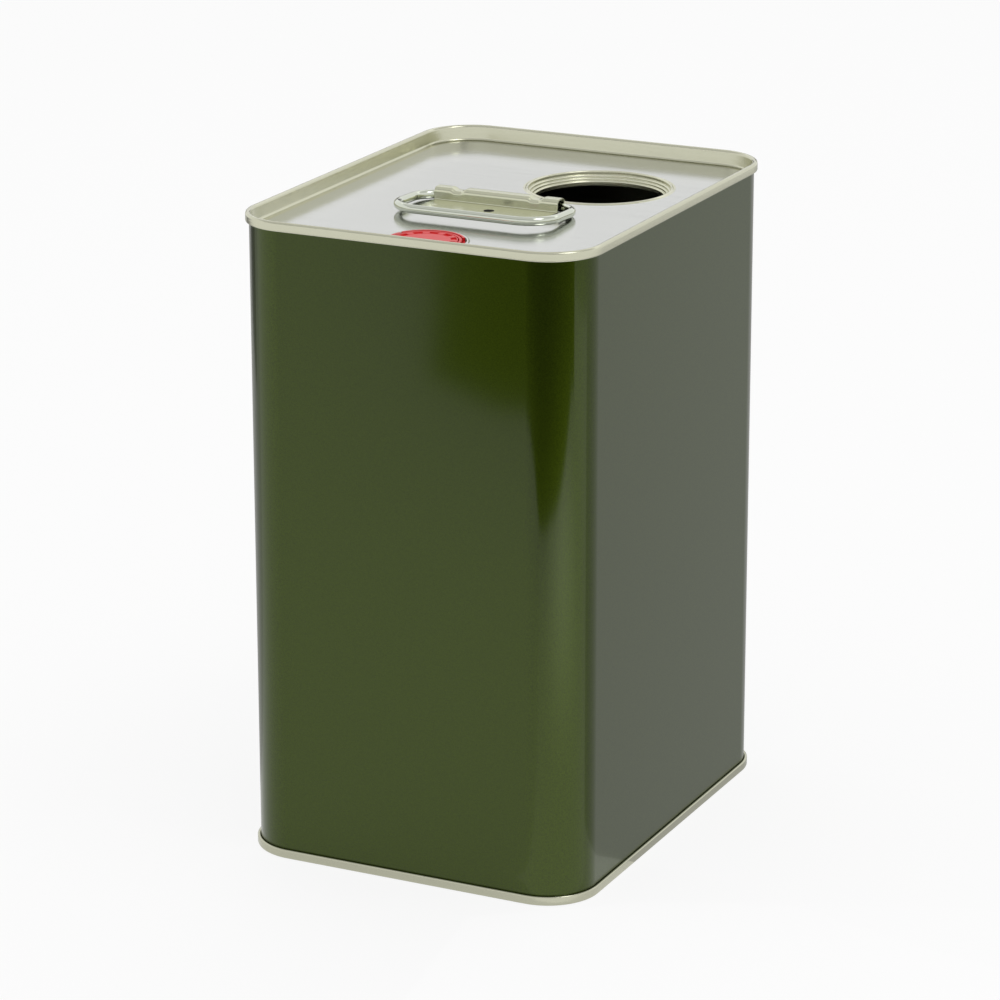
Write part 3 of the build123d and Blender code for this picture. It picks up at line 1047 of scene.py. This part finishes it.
def make_bracket():
    """Strip folded over the wire, with two soft crimps and one corner a little off the lid."""
    low, high = box_mm("handle_bracket")
    back = bracket_front - wire_diameter - 2 * bracket_play - 2 * bracket_sheet
    skin = [(-bracket_front - bracket_flange, bracket_sheet), (-bracket_front, bracket_sheet),
            (-bracket_front, bracket_height), (-back, bracket_height), (-back, bracket_back_gap)]
    bends = [bracket_crease_bend, bracket_curl_bend, bracket_curl_bend]
    section = sheet_section(skin, bracket_sheet, bends)
    middle = (low.x + high.x) / 2
    vertices = []
    for step in range(bracket_steps + 1):
        x = low.x + (high.x - low.x) * step / bracket_steps
        lift = flange_lift * smooth_step((x - high.x + flange_lift_run) / flange_lift_run)
        for y, height in section:
            crown = smooth_step((height - crimp_foot) / (bracket_height - crimp_foot))
            out = max(-y - bracket_front, 0.0) / bracket_flange
            pressed = height - crown * crimp_at(x, middle) + lift * out
            vertices.append((x, y, panel_top + pressed))
    rows = bracket_steps + 1
    faces = skin_faces(rows, len(section)) + end_faces(rows, len(section))
    bracket = smooth_piece(piece_of("bracket", vertices, faces, bracket_tin))
    stand_for(bracket, "handle_bracket", "root")


def weld_place(index):
    """Middle of one of the spot welds on the bracket's flange, counted from the left."""
    low, high = box_mm("handle_bracket")
    along = (low.x + high.x) / 2 + (index - (weld_count - 1) / 2) * weld_pitch + weld_shift
    return Vector((along, -bracket_front - weld_setback, panel_top + bracket_sheet))


def make_welds():
    """Row of spot welds, each a low ring with a pit."""
    points = [(0, -weld_height), (weld_radius, -weld_height), (weld_radius, weld_height),
              (weld_pit_radius, weld_height), (0, 0)]
    section = rounded(points, [0.0, 0.0, weld_height, weld_height, 0.0], arc_steps)
    weld = turned("weld", section, weld_place(0), bracket_tin, weld_steps)
    grow(weld, row_tree(), {"Count": weld_count, "Pitch": weld_pitch * MM, "Finish": bracket_tin})
    stand_for(smooth_piece(weld), "bracket_welds", "root")


def sink_slot(piece, half_angle):
    """Press a slot with sloped sides into the top of one sector of the cap."""
    outer = cap_radius - cap_slot_edge
    inner = outer - cap_slot_width
    shape = bmesh.new()
    shape.from_mesh(piece.data)
    top = (cap_base + cap_thickness - cap_edge_bend / 2) * MM
    chosen = []
    for face in shape.faces:
        middle = face.calc_center_median()
        reach = middle.xy.length / MM
        turn = abs(math.degrees(math.atan2(middle.y, middle.x)))
        if inner < reach < outer and turn < half_angle and middle.z > top:
            chosen.append(face)
    bmesh.ops.recalc_face_normals(shape, faces=shape.faces)
    bmesh.ops.inset_region(shape, faces=chosen, thickness=cap_slot_slope * MM, depth=0.0)
    points = {point for face in chosen for point in face.verts}
    bmesh.ops.translate(shape, verts=list(points), vec=(0, 0, -cap_slot_depth * MM))
    shape.to_mesh(piece.data)
    shape.free()


def make_cap():
    """Disc with a ring of slots, repeated round its middle, over a plain skirt."""
    outer = cap_radius - cap_slot_edge
    inner = outer - cap_slot_width
    low = cap_base
    top = cap_base + cap_thickness
    section = rounded([
        (0, low), (cap_radius, low), (cap_radius, top), (outer, top), (inner, top),
        (inner - cap_step_run, top - cap_step), (cap_dimple_radius + cap_step_run, top - cap_step),
        (cap_dimple_radius, top - cap_dimple_depth), (0, top - cap_dimple_depth),
    ], [0.0, cap_edge_bend, cap_edge_bend, 0.0, 0.0, 0.0, 0.0, 0.0, 0.0], arc_steps)
    pitch = math.degrees(math.tau) / cap_slots
    centre = Vector((well_x, well_y, panel_top))
    angles = (-pitch / 2, pitch / 2)
    disc = sector("cap_disc", section, (0, 0, 0), angles, cap_sector_steps, red_plastic)
    sink_slot(disc, pitch / 2 * cap_slot_fill_share)
    grow(disc, ring_tree(), {"Count": cap_slots, "Centre": centre * MM, "Finish": red_plastic})
    smooth_piece(disc)
    disc.data.materials.append(slot_plastic)
    for polygon in disc.data.polygons:
        place = polygon.center / MM - centre
        if inner < place.xy.length < outer and low < place.z < top - cap_slot_depth / 2:
            polygon.material_index = 1
    skirt_low = low - cap_skirt_length
    skirt_section = [(cap_skirt_inner, skirt_low), (cap_skirt_outer, skirt_low),
                     (cap_skirt_outer, low), (cap_skirt_inner, low)]
    skirt = turned("cap_skirt", skirt_section, centre, red_plastic)
    for piece in (disc, skirt):
        stand_for(piece, "pourer_cap", "cap")


def make_pull_ring():
    """Flat ring with a tab, held by a thin web on the far side."""
    place = Vector((well_x, well_y, panel_top))
    top = cap_base + cap_thickness
    base = top - ring_thickness
    middle = (ring_inner + ring_outer) / 2
    points = [(ring_inner, base), (ring_outer, base), (ring_outer, top), (ring_inner, top)]
    ring = turned("pull_ring", rounded(points, 4 * [ring_bend], arc_steps), place, red_plastic)
    tab_outer = ring_outer + ring_tab_reach
    tab_base = top - ring_tab_thickness
    points = [(middle, tab_base), (tab_outer, tab_base), (tab_outer, top), (middle, top)]
    section = rounded(points, [0.0, ring_bend / 2, ring_bend / 2, 0.0], arc_steps)
    left = math.degrees(math.pi)
    angles = (left - ring_tab_angle / 2, left + ring_tab_angle / 2)
    tab = sector("ring_tab", section, place, angles, tab_steps, red_plastic)
    close_ends(tab)
    half_width = ring_web_width / 2
    web_height = (top + base) / 2
    web_low = (cap_radius + ring_web_gap, -half_width, web_height - ring_web_thickness / 2)
    web_high = (middle, half_width, web_height + ring_web_thickness / 2)
    web = box_piece("ring_web", place + Vector(web_low), place + Vector(web_high), red_plastic)
    for piece in (ring, smooth_piece(tab), smooth_piece(web)):
        stand_for(piece, "pull_ring", "ring")


aim_camera()
light_studio()
set_stage()

lacquer = olive_lacquer()
panel_tin = tinplate("panel_tinplate", panel_colour, panel_roughness)
rim_tin = rolled_tinplate("rim_tinplate", rim_colour, seam_roughness, seam_lean)
# Base rim: the rim's tinplate darkened, as painted shade
shaded_foot_tin = rolled_tinplate("foot_tinplate", shade(rim_colour, foot_painted_shade), seam_roughness, 0.0)
neck_tin = rolled_tinplate("neck_tinplate", neck_colour, neck_roughness, neck_lean)
# Inside of the tin: the rim's tinplate darkened, as painted shade
shaded_inside_tin = tinplate("inside_tinplate", shade(rim_colour, inside_painted_shade), bare_roughness)
bare_tin = tinplate("weld_stripe", rim_colour, bare_roughness)
bracket_tin = scorched_tinplate("bracket_tinplate", bracket_colour, bracket_roughness)
wire_steel = tinplate("handle_wire", wire_colour, wire_roughness)
red_plastic = plastic("red_plastic", red_colour, red_roughness)
slot_plastic = plastic("matt_red_plastic", red_colour, slot_roughness)
natural_plastic = plastic("natural_plastic", natural_colour, natural_roughness)
rubber = plastic("black_rubber", rubber_colour, rubber_roughness)
foam = plastic("liner_foam", foam_colour, soft_roughness)
compound = plastic("seam_compound", compound_colour, soft_roughness)

round_tin = carry_round_tree()
make_wall()
make_side_weld()
make_lid()
make_base()
make_handle()
make_bracket()
make_welds()
make_cap()
make_pull_ring()
dress("pourer_socket", red_plastic)
dress("pourer_spout", natural_plastic)
dress("pourer_gasket", rubber)
dress("cap_liner", foam)
for node in ("lid_seal", "base_seal"):
    dress(node, compound)

bpy.context.scene.view_settings.view_transform = "Standard"
